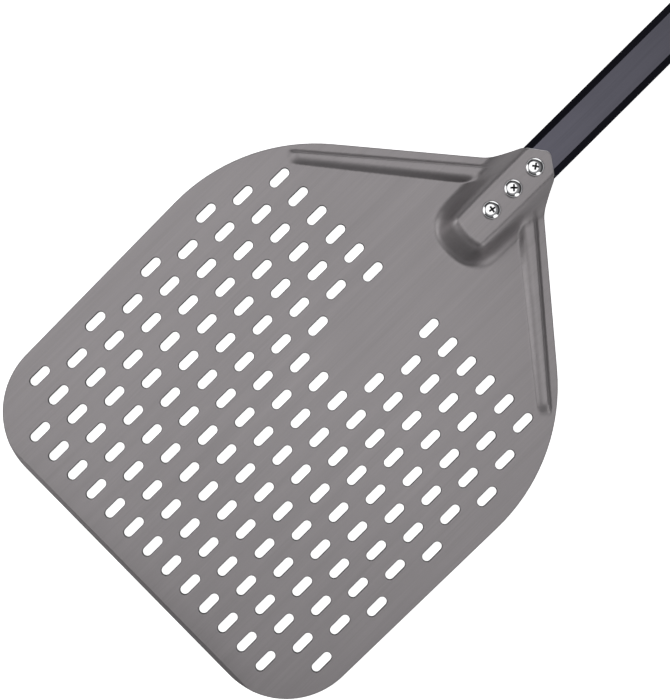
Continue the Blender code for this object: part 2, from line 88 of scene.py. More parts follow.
# The pressed socket and ribs. A slope is its (length, rounding at the foot, rounding at the crest).
SOCKET_START = 299.5 * MM
SOCKET_HEIGHT = 17.8 * MM
SOCKET_FRONT_SLOPE = (18.5 * MM, 5 * MM, 7 * MM)
SOCKET_FRONT_BOW = 80 * MM
SOCKET_TOP_HALF_WIDTH = 10.8 * MM
SOCKET_SIDE_SLOPE = (17 * MM, 10.5 * MM, 5.5 * MM)
SOCKET_SKIRT = 0.08
SOCKET_SKIRT_SLOPE = (22 * MM, 7 * MM, 5 * MM)
SOCKET_TAPER = 3 * MM
SOCKET_TAPER_LENGTH = 14 * MM

RIB_ROUTE = [(269.8 * MM, 124 * MM), (363.5 * MM, 12.9 * MM)]
RIB_HEIGHT = (2.6 * MM, 4.2 * MM)
RIB_OUTER_HALF = (4.6 * MM, 5.8 * MM)
RIB_INNER_HALF = (6.0 * MM, 9.0 * MM)
RIB_OUTER_SLOPE = (3.2 * MM, 0.8 * MM, 2.2 * MM)
RIB_INNER_SLOPE = (7.4 * MM, 1.4 * MM, 5.8 * MM)
RIB_END_SLOPE = (11 * MM, 4 * MM, 5 * MM)

SCREW_HOLE_RADIUS = 3.3 * MM
EDGE_RADIUS = 0.4 * MM
EDGE_TURNS = (30, 60, 90)

# How finely the blade is meshed: the socket's grid, the ribs' grid and the outline.
GRID_STEP = 0.8 * MM
GRID_MARGIN = 0.4 * MM
SOCKET_GRID_HALF_WIDTH = 34.4 * MM
RIB_GRID_HALF_WIDTH = 9 * MM
RIB_GRID_STEPS = (1.2 * MM, 0.7 * MM)
OUTLINE_STEP = 2.5 * MM

# Section of the tube, and sizes on the small pieces that their boxes don't give.
TUBE_WIDTH = 29 * MM
TUBE_HEIGHT = 15 * MM
TUBE_CHAMFER_WIDTH = 4.65 * MM
TUBE_CHAMFER_HEIGHT = 3.6 * MM
TUBE_EDGE = 0.6 * MM
TUBE_WALL = 1.5 * MM
SCREW_TURNS = {"front": -10, "middle": 45, "rear": 35}
SCREW_HEAD_HEIGHT = 3.2 * MM
SCREW_RIM_HEIGHT = 0.75 * MM
SCREW_DOME_INSET = 0.15 * MM
SCREW_SHANK_RADIUS = 2.0 * MM
RECESS_SPAN = 5.0 * MM
RECESS_WIDTH = 1.3 * MM
RECESS_DEPTH = 2.0 * MM
RECESS_TAPER = (0.5, 0.2)
NUT_BARREL_RADIUS = 3.0 * MM
NUT_BORE_RADIUS = 2.3 * MM
NUT_BORE_FLOOR = 1.6 * MM
NUT_SLOT_WIDTH = 1.4 * MM
NUT_SLOT_DEPTH = 0.7 * MM
PLUG_FLANGE = 1.5 * MM
PLUG_EDGE = [(0, 0.5 * MM), (0.15 * MM, 0.2 * MM), (0.4 * MM, 0)]
SPIGOT_CHAMFER = (0.6 * MM, 0.5 * MM)
GRIP_CORNER = 7 * MM
GRIP_END = (2 * MM, 1.3 * MM)
GRIP_NECK = [(9 * MM, 0), (10 * MM, 0.9 * MM), (12 * MM, 0.9 * MM), (13 * MM, 0)]
GRIP_CAP_ROUNDING = [(0, 0.8 * MM), (0.25 * MM, 0.25 * MM), (0.8 * MM, 0)]
GRIP_GROOVES = 12
GRIP_GROOVE_START = 24 * MM
GRIP_GROOVE_PITCH = 6 * MM
GRIP_GROOVE_WIDTH = 3.2 * MM
GRIP_GROOVE_DEPTH = 0.7 * MM
GRIP_GROOVE_STEPS = 8
CAP_EDGE = 3 * MM
CAP_SPIGOT_OVERLAP = 3 * MM
CAP_SCREW_SHANK_RADIUS = 1.5 * MM
CAP_SCREW_RECESS_SPAN = 3.6 * MM
LOOP_WIRE_RADIUS = 1.6 * MM
LOOP_BEND = 3.5 * MM
LOOP_END_BEND = 14 * MM
LOOP_END_IN_CAP = 8 * MM

BLADE_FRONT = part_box("blade")[0].x
PIVOT = Vector(frame["joints"][0]["pos_m"])

CAMERA_TARGET = Vector((BLADE_FRONT + 201.6 * MM, 7.3 * MM, 0))
CAMERA_DISTANCE = 0.743
CAMERA_ALONG_TILT = math.radians(1.55)
CAMERA_SIDE_TILT = math.radians(0.88)
CAMERA_ROLL = math.radians(44.74)
CAMERA_LENS = 57
CAMERA_SENSOR = 36

FLOOR_SIZE = 6
FLOOR_WHITE = 0.85
FLOOR_ROUGHNESS = 0.9
FLOOR_GLOW = 0.8
LIGHT_TARGET = Vector((BLADE_FRONT + 250 * MM, 0, 0))
# Each light's place, its width and height, and how bright it is all over.
LIGHTS = {
    "overhead_light": ((0.06, 0.32, 2.0), (2.5, 2.5), 1.02),
    "left_light": ((-0.8, 0.8, 0.5), (1.3, 0.85), 1.8),
    "right_light": ((-0.08, -1.06, 0.56), (0.7, 1.2), 1.4),
    "rear_light": ((1.15, 0.5, 0.34), (1.3, 0.6), 1.1),
}
# The room's brightness from the horizon, at 0, up to the zenith, at 1.
ROOM_LEVELS = [(0, 0.6), (0.2, 0.35), (0.4, 0.035), (0.6, 0.04), (0.84, 0.3), (1, 0.3)]
ROOM_BLUE = 1.02


# Camera, floor and light


def make_camera():
    """Looks almost straight down on the blade, with the handle running up to the right."""
    backward = Vector(
        (-math.sin(CAMERA_ALONG_TILT), -math.sin(CAMERA_SIDE_TILT), math.cos(CAMERA_ALONG_TILT))
    ).normalized()
    up = Vector((math.sin(CAMERA_ROLL), math.cos(CAMERA_ROLL), 0))
    right = up.cross(backward).normalized()
    up = backward.cross(right)
    data = bpy.data.cameras.new("camera")
    data.lens = CAMERA_LENS
    data.sensor_width = CAMERA_SENSOR
    camera = bpy.data.objects.new("camera", data)
    turn = Matrix((right, up, backward)).transposed().to_4x4()
    camera.matrix_world = Matrix.Translation(CAMERA_TARGET + backward * CAMERA_DISTANCE) @ turn
    bpy.context.scene.collection.objects.link(camera)
    bpy.context.scene.camera = camera


def make_floor():
    """A white floor, whose glow the camera sees but the peel doesn't reflect."""
    bpy.ops.mesh.primitive_plane_add(size=FLOOR_SIZE, location=(0, 0, -GAP))
    floor = bpy.context.object
    floor.name = "floor"
    material, shader, tree = new_material("floor_white", [FLOOR_WHITE] * 3, FLOOR_ROUGHNESS)
    shader.inputs["Emission Color"].default_value = (1, 1, 1, 1)
    glow = tree.nodes.new("ShaderNodeMath")
    glow.operation = "MULTIPLY"
    glow.inputs[1].default_value = FLOOR_GLOW
    path = tree.nodes.new("ShaderNodeLightPath")
    tree.links.new(path.outputs["Is Camera Ray"], glow.inputs[0])
    tree.links.new(glow.outputs[0], shader.inputs["Emission Strength"])
    floor.data.materials.append(material)


def add_softbox(name, location, size, radiance):
    """An oval light of the given width and height, aimed at the blade."""
    width, height = size
    data = bpy.data.lights.new(name, "AREA")
    data.shape = "ELLIPSE"
    data.size = width
    data.size_y = height
    area = math.pi * width * height / 4
    data.energy = radiance * math.pi * area
    light = bpy.data.objects.new(name, data)
    light.location = location
    aim = LIGHT_TARGET - light.location
    light.rotation_euler = aim.to_track_quat("-Z", "Y").to_euler()
    bpy.context.scene.collection.objects.link(light)


def make_light():
    """A room dark at mid height, with a soft light above, one to each side and one behind."""
    world = bpy.data.worlds.new("studio")
    bpy.context.scene.world = world
    world.use_nodes = True
    nodes, links = world.node_tree.nodes, world.node_tree.links
    place = nodes.new("ShaderNodeTexCoord")
    split = nodes.new("ShaderNodeSeparateXYZ")
    ramp = nodes.new("ShaderNodeValToRGB")
    links.new(place.outputs["Generated"], split.inputs[0])
    links.new(split.outputs["Z"], ramp.inputs[0])
    links.new(ramp.outputs[0], nodes["Background"].inputs["Color"])
    stops = ramp.color_ramp.elements
    for _ in ROOM_LEVELS[2:]:
        stops.new(0.5)
    for stop, (position, level) in zip(stops, ROOM_LEVELS):
        stop.position = position
        stop.color = (level, level, ROOM_BLUE * level, 1)
    for name, light in LIGHTS.items():
        add_softbox(name, *light)
    bpy.context.scene.view_settings.view_transform = "Standard"


# Materials

NOISE_RANGE = (0.3, 0.7)
BRUSHED_DEPTH = 0.02 * MM
GRAIN_DEPTH = 0.05 * MM


def new_material(name, colour, roughness, metallic=0.0):
    material = bpy.data.materials.new(name)
    material.use_nodes = True
    shader = material.node_tree.nodes["Principled BSDF"]
    shader.inputs["Base Color"].default_value = (*colour, 1)
    shader.inputs["Roughness"].default_value = roughness
    shader.inputs["Metallic"].default_value = metallic
    return material, shader, material.node_tree


def noise(tree, scale, detail=2.0, stretch=(1, 1, 1)):
    """A noise pattern in object space, stretched along its axes."""
    place = tree.nodes.new("ShaderNodeTexCoord")
    mapping = tree.nodes.new("ShaderNodeMapping")
    mapping.inputs["Scale"].default_value = stretch
    pattern = tree.nodes.new("ShaderNodeTexNoise")
    pattern.inputs["Scale"].default_value = scale
    pattern.inputs["Detail"].default_value = detail
    tree.links.new(place.outputs["Object"], mapping.inputs["Vector"])
    tree.links.new(mapping.outputs[0], pattern.inputs["Vector"])
    return pattern.outputs["Fac"]


def mapped(tree, value, low, high):
    """The part of a noise pattern's range that it mostly keeps to, mapped to low to high."""
    node = tree.nodes.new("ShaderNodeMapRange")
    node.inputs["From Min"].default_value = NOISE_RANGE[0]
    node.inputs["From Max"].default_value = NOISE_RANGE[1]
    node.inputs["To Min"].default_value = low
    node.inputs["To Max"].default_value = high
    tree.links.new(value, node.inputs["Value"])
    return node.outputs[0]


def mixed(tree, value, first, second):
    node = tree.nodes.new("ShaderNodeMix")
    node.data_type = "RGBA"
    node.inputs["A"].default_value = (*first, 1)
    node.inputs["B"].default_value = (*second, 1)
    tree.links.new(value, node.inputs["Factor"])
    return node.outputs["Result"]


def add_bump(tree, shader, height, strength, distance):
    bump = tree.nodes.new("ShaderNodeBump")
    bump.inputs["Strength"].default_value = strength
    bump.inputs["Distance"].default_value = distance
    tree.links.new(height, bump.inputs["Height"])
    tree.links.new(bump.outputs[0], shader.inputs["Normal"])


def brushed_metal(name, dark, light, roughness, grain, strength, metallic=1.0):
    """Metal brushed along x: fine and broad streaks, as dense as grain says along and across."""
    material, shader, tree = new_material(name, dark, roughness[0], metallic)
    along, across = grain
    fine = noise(tree, 1, 3, stretch=(along, across, across))
    broad = noise(tree, 1, 2, stretch=(along / 3, across / 6, across / 6))
    cloud = noise(tree, 9, 2)
    both = tree.nodes.new("ShaderNodeMath")
    both.operation = "ADD"
    tree.links.new(fine, both.inputs[0])
    tree.links.new(broad, both.inputs[1])
    half = tree.nodes.new("ShaderNodeMath")
    half.operation = "MULTIPLY"
    half.inputs[1].default_value = 0.5
    tree.links.new(both.outputs[0], half.inputs[0])
    streaks = mapped(tree, half.outputs[0], 0, 1)
    tree.links.new(mixed(tree, streaks, dark, light), shader.inputs["Base Color"])
    tree.links.new(mapped(tree, cloud, *roughness), shader.inputs["Roughness"])
    add_bump(tree, shader, fine, strength, BRUSHED_DEPTH)
    return material


def moulded(name, colour, light, roughness, grain, strength):
    """Plastic or rubber with a fine even grain."""
    material, shader, tree = new_material(name, colour, roughness[0])
    speckle = noise(tree, grain, 3)
    speckled = mixed(tree, mapped(tree, speckle, 0, 1), colour, light)
    tree.links.new(speckled, shader.inputs["Base Color"])
    tree.links.new(mapped(tree, noise(tree, 30, 2), *roughness), shader.inputs["Roughness"])
    add_bump(tree, shader, speckle, strength, GRAIN_DEPTH)
    return material


# Outlines


def rounded_path(corners, step=math.radians(3)):
    """A closed outline through corners given as (x, y, radius), each rounded by an arc."""
    path = []
    for index, (x, y, radius) in enumerate(corners):
        corner = Vector((x, y))
        if not radius:
            path.append(corner)
            continue
        before = (Vector(corners[index - 1][:2]) - corner).normalized()
        after = (Vector(corners[(index + 1) % len(corners)][:2]) - corner).normalized()
        opening = before.angle(after)
        middle = corner + (before + after).normalized() * radius / math.sin(opening / 2)
        tangent = radius / math.tan(opening / 2)
        start = corner + before * tangent - middle
        end = corner + after * tangent - middle
        pieces = max(2, math.ceil((math.pi - opening) / step))
        path += [middle + radius * start.slerp(end, piece / pieces) for piece in range(pieces + 1)]
    return path


def divided(path, longest):
    """The same closed outline, with no side longer than the given length."""
    points = []
    for start, end in zip(path, path[1:] + path[:1]):
        pieces = max(1, math.ceil((end - start).length / longest))
        points += [start.lerp(end, piece / pieces) for piece in range(pieces)]
    return points


def inset(path, distance):
    """A closed anticlockwise outline moved inwards, or outwards if the distance is negative."""
    moved = []
    for before, here, after in zip(path[-1:] + path[:-1], path, path[1:] + path[:1]):
        ahead = (after - here).normalized()
        behind = (here - before).normalized()
        normal = Vector((-(ahead + behind).y, (ahead + behind).x)).normalized()
        stretch = max(0.5, normal.dot(Vector((-ahead.y, ahead.x))))
        moved.append(here + normal * distance / stretch)
    return moved


def clearance(point, outline):
    """Distance from a point to a closed outline, negative when the point is outside."""
    corners = np.array([tuple(corner) for corner in outline])
    ends = np.roll(corners, -1, axis=0)
    sides = ends - corners
    offset = np.array(tuple(point)) - corners
    along = np.clip((offset * sides).sum(1) / (sides**2).sum(1), 0, 1)
    nearest = np.sqrt(((offset - along[:, None] * sides) ** 2).sum(1).min())
    spans = (corners[:, 1] > point[1]) != (ends[:, 1] > point[1])
    rise = np.where(sides[:, 1] == 0, 1, sides[:, 1])
    crossing = corners[:, 0] + (point[1] - corners[:, 1]) * sides[:, 0] / rise
    inside = (spans & (point[0] < crossing)).sum() % 2
    return nearest if inside else -nearest


# Meshes


def plan_cap(rings, inner, creases):
    """Triangles over the area inside the first ring and outside the others.

    Gives the points, the triangles and each ring's places among the points.
    """
    points = [point for ring in rings for point in ring]
    loops = []
    for ring in rings:
        first = sum(len(loop) for loop in loops)
        loops.append(list(range(first, first + len(ring))))
    edges = []
    for crease in creases:
        edges.append((len(points), len(points) + 1))
        points = points + list(crease)
    points = points + list(inner)
    inside_only, tolerance = 1, 1e-7
    found, _, faces, sources, _, _ = delaunay_2d_cdt(points, edges, loops, inside_only, tolerance)
    hole_of = {point: number for number, loop in enumerate(loops[1:], 1) for point in loop}
    kept = []
    for face in faces:
        on_holes = {hole_of.get(sources[corner][0]) for corner in face}
        if None in on_holes or len(on_holes) > 1:
            kept.append(list(face))
    place = {source: index for index, own in enumerate(sources) for source in own}
    return found, kept, [[place[point] for point in loop] for loop in loops]


def bridge(solid, first, second):
    """A strip of faces between two rings of as many vertices."""
    faces = []
    for index in range(len(first)):
        following = (index + 1) % len(first)
        corners = (first[index], first[following], second[following], second[index])
        faces.append(solid.faces.new(corners))
    return faces


def edged_plate(rings, thickness, inner=(), creases=(), radius=EDGE_RADIUS):
    """A plate on z = 0 with rounded edges, whose faces are marked in a layer named rim.

    The first ring is its outline, and the others are holes.
    """
    inset_rings = [inset(rings[0], radius)] + [inset(ring, -radius) for ring in rings[1:]]
    found, faces, loops = plan_cap(inset_rings, inner, creases)
    solid = bmesh.new()
    rims = solid.faces.layers.int.new("rim")
    caps = []
    for height in (0, thickness):
        corners = [solid.verts.new((point.x, point.y, height)) for point in found]
        for face in faces:
            solid.faces.new([corners[corner] for corner in face])
        caps.append(corners)
    for number, loop in enumerate(loops):
        ring = rings[number]
        side = 1 if number == 0 else -1
        levels = [(degrees, 1) for degrees in EDGE_TURNS]
        levels += [(degrees, -1) for degrees in reversed(EDGE_TURNS)]
        previous = [caps[1][corner] for corner in loop]
        strips = []
        for degrees, facing in levels:
            turn = math.radians(degrees)
            depth = radius * (1 - math.cos(turn))
            height = thickness - depth if facing > 0 else depth
            path = inset(ring, side * radius * (1 - math.sin(turn)))
            level = [solid.verts.new((point.x, point.y, height)) for point in path]
            strips += bridge(solid, previous, level)
            previous = level
        strips += bridge(solid, previous, [caps[0][corner] for corner in loop])
        for face in strips:
            face[rims] = 1
    loose = [corner for corner in solid.verts if not corner.link_faces]
    bmesh.ops.delete(solid, geom=loose, context="VERTS")
    return solid


# Blade


def slope(distance, length, foot, crest):
    """Height from 0 to 1 up a slope whose foot and crest are rounded by parabolas."""
    steepness = 1 / (length - foot / 2 - crest / 2)
    distance = np.clip(distance, 0, length)
    low = steepness * distance**2 / (2 * foot)
    high = 1 - steepness * (length - distance) ** 2 / (2 * crest)
    straight = steepness * (distance - foot / 2)
    return np.where(distance < foot, low, np.where(distance > length - crest, high, straight))


def socket_height(x, y):
    """The flat top, its steep flanks and front, and the shallow skirt at its sides."""
    start = SOCKET_START + y**2 / SOCKET_FRONT_BOW
    along = slope(x - start, *SOCKET_FRONT_SLOPE)
    taper = SOCKET_TAPER * np.exp((SOCKET_START - x) / SOCKET_TAPER_LENGTH)
    edge = SOCKET_TOP_HALF_WIDTH - taper - abs(y)
    flank = slope(edge + SOCKET_SIDE_SLOPE[0], *SOCKET_SIDE_SLOPE)
    skirt = slope(edge + SOCKET_SKIRT_SLOPE[0], *SOCKET_SKIRT_SLOPE)
    return SOCKET_HEIGHT * along * (flank + SOCKET_SKIRT * (skirt - flank))


def rib_height(x, y):
    """A bead along each shoulder: steep on its outer side, softer on its inner side."""
    start, end = np.array(RIB_ROUTE)
    length = np.linalg.norm(end - start)
    along_x, along_y = (end - start) / length
    from_start = (x - start[0]) * along_x + (abs(y) - start[1]) * along_y
    outward = (abs(y) - start[1]) * along_x - (x - start[0]) * along_y
    fraction = np.clip(from_start / length, 0, 1)
    height = between(RIB_HEIGHT, fraction)
    outer = slope(between(RIB_OUTER_HALF, fraction) - outward, *RIB_OUTER_SLOPE)
    inner = slope(between(RIB_INNER_HALF, fraction) + outward, *RIB_INNER_SLOPE)
    ends = slope(from_start, *RIB_END_SLOPE) * slope(length - from_start, *RIB_END_SLOPE)
    return height * outer * inner * ends


def between(pair, fraction):
    return pair[0] + (pair[1] - pair[0]) * fraction


def pressed_height(x, y):
    """How far the sheet is pressed up: the socket and the ribs, blended where they meet."""
    return (socket_height(x, y) ** 2 + rib_height(x, y) ** 2) ** 0.5


def blade_outline():
    mirrored = [(x, -y, radius) for x, y, radius in HALF_OUTLINE]
    return rounded_path(mirrored + [TONGUE_TIP] + HALF_OUTLINE[::-1])


def slot_ring(centre):
    """A stadium with its long side along the peel, anticlockwise."""
    ring = []
    for end in (1, -1):
        middle = Vector((centre[0] + end * (SLOT_LENGTH / 2 - SLOT_RADIUS), centre[1]))
        for degrees in range(-90, 91, 15):
            turn = math.radians(degrees)
            ring.append(middle + end * SLOT_RADIUS * Vector((math.cos(turn), math.sin(turn))))
    return ring


def slot_centres(outline):
    """Staggered rows of slots, where they have room, round the plain patch ahead of the socket."""
    reach = SLOT_LENGTH / 2 - SLOT_RADIUS
    centres = []
    for row in range(SLOT_ROWS):
        x = REAR_ROW - row * ROW_PITCH
        shift = 0 if row % 2 else 0.5
        for column in range(-SLOT_COLUMNS, SLOT_COLUMNS + 1):
            y = (column + shift) * SLOT_PITCH
            if x > PATCH_START and abs(y) < PATCH_HALF_WIDTH:
                continue
            room = min(clearance((x + side * reach, y), outline) for side in (-1, 1))
            if room > SLOT_MARGIN + SLOT_RADIUS:
                centres.append((x, y))
    return centres


def ring_of(centre, radius, sides):
    turns = [2 * math.pi * side / sides for side in range(sides)]
    return [Vector(centre) + radius * Vector((math.cos(turn), math.sin(turn))) for turn in turns]


def grid_points(xs, ys):
    return np.stack([part.ravel() for part in np.meshgrid(xs, ys)], axis=1)


def rib_grid(side):
    """Points along a rib and across it, up to where the socket's own grid starts."""
    start, end = np.array(RIB_ROUTE)
    length = np.linalg.norm(end - start)
    along = (end - start) / length
    across = np.array([-along[1], along[0]])
    step_along, step_across = RIB_GRID_STEPS
    points = []
    for station in np.arange(-1 * MM, length, step_along):
        for offset in np.arange(-RIB_GRID_HALF_WIDTH, RIB_GRID_HALF_WIDTH + 0.1 * MM, step_across):
            points.append(start + along * station + across * offset)
    nearest = SOCKET_GRID_HALF_WIDTH + 0.5 * GRID_STEP
    return np.array([point for point in points if point[1] > nearest]) * (1, side)


def pressed_points(outline, slots, holes):
    """A fine grid where the sheet is pressed, clear of its edge, its slots and its screw holes."""
    socket = grid_points(
        np.arange(SOCKET_START - 1 * MM, TONGUE_TIP[0], GRID_STEP),
        np.arange(-SOCKET_GRID_HALF_WIDTH, SOCKET_GRID_HALF_WIDTH + GRID_STEP / 2, GRID_STEP),
    )
    points = np.concatenate([socket, rib_grid(1), rib_grid(-1)])
    reach = SLOT_LENGTH / 2 - SLOT_RADIUS
    for x, y in slots:
        beyond = np.clip(abs(points[:, 0] - x) - reach, 0, None)
        distance = np.hypot(beyond, points[:, 1] - y)
        points = points[distance > SLOT_RADIUS + EDGE_RADIUS + GRID_MARGIN]
    for x in holes:
        distance = np.hypot(points[:, 0] - x, points[:, 1])
        points = points[distance > SCREW_HOLE_RADIUS + EDGE_RADIUS + GRID_MARGIN]
    room = EDGE_RADIUS + GRID_MARGIN
    return [Vector(point) for point in points if clearance(point, outline) > room]


def make_blade(material, edge_material, tongue_edge_highlight_material):
    """The sheet with its slots and holes, bevelled at the front and pressed into socket and ribs."""
    outline = divided(blade_outline(), OUTLINE_STEP)
    holes = [x - BLADE_FRONT for x in screw_places()]
    slots = slot_centres(outline)
    rings = [outline, *[slot_ring(centre) for centre in slots]]
    rings += [ring_of((x, 0), SCREW_HOLE_RADIUS, 32) for x in holes]
    step_width, step_drop = BEVEL_STEP
    creases = [
        [Vector((x, -BEVEL_HALF_LENGTH)), Vector((x, BEVEL_HALF_LENGTH))]
        for x in (BEVEL_WIDTH, BEVEL_WIDTH - step_width)
    ]
    sheet = edged_plate(rings, SHEET, pressed_points(outline, slots, holes), creases)
    places = np.array([corner.co for corner in sheet.verts])
    x, y, z = places.T
    drop = np.interp(x, (0, BEVEL_WIDTH - step_width, BEVEL_WIDTH), (BEVEL_DROP, step_drop, 0))
    heights = z - np.where(z > SHEET / 2, drop, 0) + pressed_height(x, y)
    for corner, height in zip(sheet.verts, heights):
        corner.co = (corner.co.x + BLADE_FRONT, corner.co.y, height)
    rims = sheet.faces.layers.int["rim"]
    for face in sheet.faces:
        face.material_index = face[rims]
        # Rim faces past the tongue's start take a far brighter copy of the cut edge: a painted
        # highlight where the tongue's edge catches the light.
        if face[rims] and face.calc_center_median().x > BLADE_FRONT + TONGUE_START:
            face.material_index = 2
    piece = loose_object("blade_sheet", sheet)
    finishes = [material, edge_material, tongue_edge_highlight_material]
    return finished(piece, finishes, PEEL, "blade", angle=60)


# Other pieces


def combine(target, other, operation):
    """Cuts one mesh from another, or unites the two, for good, and removes the second."""
    modifier = target.modifiers.new("combine", "BOOLEAN")
    modifier.object = other
    modifier.operation = operation
    bpy.context.view_layer.update()
    evaluated = target.evaluated_get(bpy.context.evaluated_depsgraph_get())
    mesh = bpy.data.meshes.new_from_object(evaluated)
    target.modifiers.remove(modifier)
    old = target.data
    target.data = mesh
    bpy.data.meshes.remove(old)
    bpy.data.objects.remove(other)


def cut(target, cutter):
    combine(target, cutter, "DIFFERENCE")


def loose_object(name, solid):
    """An object made from a bmesh, not yet part of the peel."""
    mesh = bpy.data.meshes.new(name)
    bmesh.ops.recalc_face_normals(solid, faces=solid.faces[:])
    solid.to_mesh(mesh)
    solid.free()
    piece = bpy.data.objects.new(name, mesh)
    bpy.context.scene.collection.objects.link(piece)
    return piece


def mark_faces(piece, chosen, index=1):
    """Gives a piece's chosen faces its material of that number."""
    for face in piece.data.polygons:
        if chosen(face):
            face.material_index = index


def finished(piece, materials, body, node, angle=35):
    """Shades a piece smooth, gives it its materials and puts it on its body in place of a node."""
    for material in materials:
        piece.data.materials.append(material)
    piece.data.shade_smooth()
    piece.data.set_sharp_from_angle(angle=math.radians(angle))
    weighted = piece.modifiers.new("weighted_normals", "WEIGHTED_NORMAL")
    weighted.keep_sharp = True
    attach(piece, body)
    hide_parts(node)
    return piece


def rod(radius, length, location, sides=32, turn=None):
    """A cutter: a cylinder centred on its place, upright unless turned."""
    solid = bmesh.new()
    bmesh.ops.create_cone(
        solid, cap_ends=True, segments=sides, radius1=radius, radius2=radius, depth=length,
        matrix=Matrix.Translation(location) @ (turn or Matrix.Identity(4)),
    )
    return loose_object("rod_cutter", solid)


def turned(profile, location, sides=64):
    """A profile of (radius, height) points turned about an upright axis."""
    solid = bmesh.new()
    corners = [solid.verts.new((radius, 0, height)) for radius, height in profile]
    edges = [solid.edges.new(pair) for pair in zip(corners, corners[1:])]
    bmesh.ops.spin(
        solid, geom=corners + edges, cent=(0, 0, 0), axis=(0, 0, 1),
        angle=2 * math.pi, steps=sides, use_merge=True,
    )
    bmesh.ops.remove_doubles(solid, verts=solid.verts[:], dist=0.001 * MM)
    bmesh.ops.translate(solid, verts=solid.verts[:], vec=location)
    return solid


def arc(centre, radius, start, end, pieces=6):
    """Points on part of a circle in a profile, with its angles in degrees."""
    points = []
    for piece in range(pieces + 1):
        turn = math.radians(start + (end - start) * piece / pieces)
        points.append((centre[0] + radius * math.cos(turn), centre[1] + radius * math.sin(turn)))
    return points


def rounded_rectangle(width, height, radius, step=math.radians(5)):
    x, y = width / 2, height / 2
    return rounded_path([(x, -y, radius), (x, y, radius), (-x, y, radius), (-x, -y, radius)], step)


def lofted(section, stations, bore=None):
    """A bar along x: one section at each (x, inset), closed by caps or by a bore through it."""
    solid = bmesh.new()
    rings = []
    for x, depth in stations:
        rings.append([solid.verts.new((x, point.x, point.y)) for point in inset(section, depth)])
    for first, second in zip(rings, rings[1:]):
        bridge(solid, first, second)
    if bore is None:
        solid.faces.new(rings[0])
        solid.faces.new(rings[-1])
        return solid
    for end in (0, -1):
        x = stations[end][0]
        inner = [solid.verts.new((x, point.x, point.y)) for point in bore]
        pairs = [list(zip(ring, ring[1:] + ring[:1])) for ring in (rings[end], inner)]
        edges = [edge_between(solid, *pair) for pair in pairs[0] + pairs[1]]
        bmesh.ops.triangle_fill(solid, edges=edges, use_beauty=True)
        if end == 0:
            first_inner = inner
    bridge(solid, first_inner, inner)
    return solid


def edge_between(solid, start, end):
    return solid.edges.get((start, end)) or solid.edges.new((start, end))


def tube_section(shrink=0):
    """The section of the flat tube with its chamfered corners, made smaller all round by shrink."""
    tilt = math.atan2(TUBE_CHAMFER_HEIGHT, TUBE_CHAMFER_WIDTH)
    x, y = TUBE_WIDTH / 2 - shrink, TUBE_HEIGHT / 2 - shrink
    flat = TUBE_WIDTH / 2 - TUBE_CHAMFER_WIDTH - shrink * math.tan(tilt / 2)
    side = TUBE_HEIGHT / 2 - TUBE_CHAMFER_HEIGHT - shrink * math.tan((QUARTER - tilt) / 2)
    quarter = [(x, side), (flat, y)]
    upper = quarter + [(-px, py) for px, py in reversed(quarter)]
    lower = [(-px, -py) for px, py in upper]
    return rounded_path([(*corner, TUBE_EDGE) for corner in upper + lower], math.radians(10))


def make_tube(flat_finish, side_painted_shade_finish):
    """The tube: its broad faces satin, and its sides and chamfers glossier and coloured far darker, as
    painted shade.
    """
    low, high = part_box("handle_tube")
    middle = (low.z + high.z) / 2
    ends = [(low.x, EDGE_RADIUS), (low.x + EDGE_RADIUS, 0)]
    ends += [(high.x - EDGE_RADIUS, 0), (high.x, EDGE_RADIUS)]
    solid = lofted(tube_section(), ends, tube_section(TUBE_WALL))
    bmesh.ops.translate(solid, verts=solid.verts[:], vec=(0, 0, middle))
    piece = loose_object("tube_shell", solid)
    for x in screw_places():
        cut(piece, rod(SCREW_HOLE_RADIUS, 2 * TUBE_HEIGHT, (x, 0, middle)))
    finished(piece, [side_painted_shade_finish, flat_finish], PEEL, "handle_tube")
    # Only faces that look up or down keep the satin colour; the sides and chamfers keep the far darker
    # copy, which is painted shade.
    mark_faces(piece, lambda face: abs(face.normal.z) > math.cos(math.radians(12)))
    return piece


def screw_places():
    """Where the neck screws stand along the peel, front to rear."""
    boxes = [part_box(f"neck_screw_{place}") for place in SCREW_TURNS]
    return [(low.x + high.x) / 2 for low, high in boxes]


def recess(location, span, turn):
    """One arm of a cross recess as a cutter: it has its span at the location and narrows downwards."""
    span_taper, width_taper = RECESS_TAPER
    solid = bmesh.new()
    made = bmesh.ops.create_cube(solid, size=1)["verts"]
    for corner in made:
        side = -1 if corner.co.z < 0 else 1
        corner.co.x *= span * (1 + side * span_taper)
        corner.co.y *= RECESS_WIDTH * (1 + side * width_taper)
        corner.co.z *= 2 * RECESS_DEPTH
    matrix = Matrix.Translation(location) @ Matrix.Rotation(turn, 4, "Z")
    bmesh.ops.transform(solid, matrix=matrix, verts=made)
    return loose_object("recess_cutter", solid)


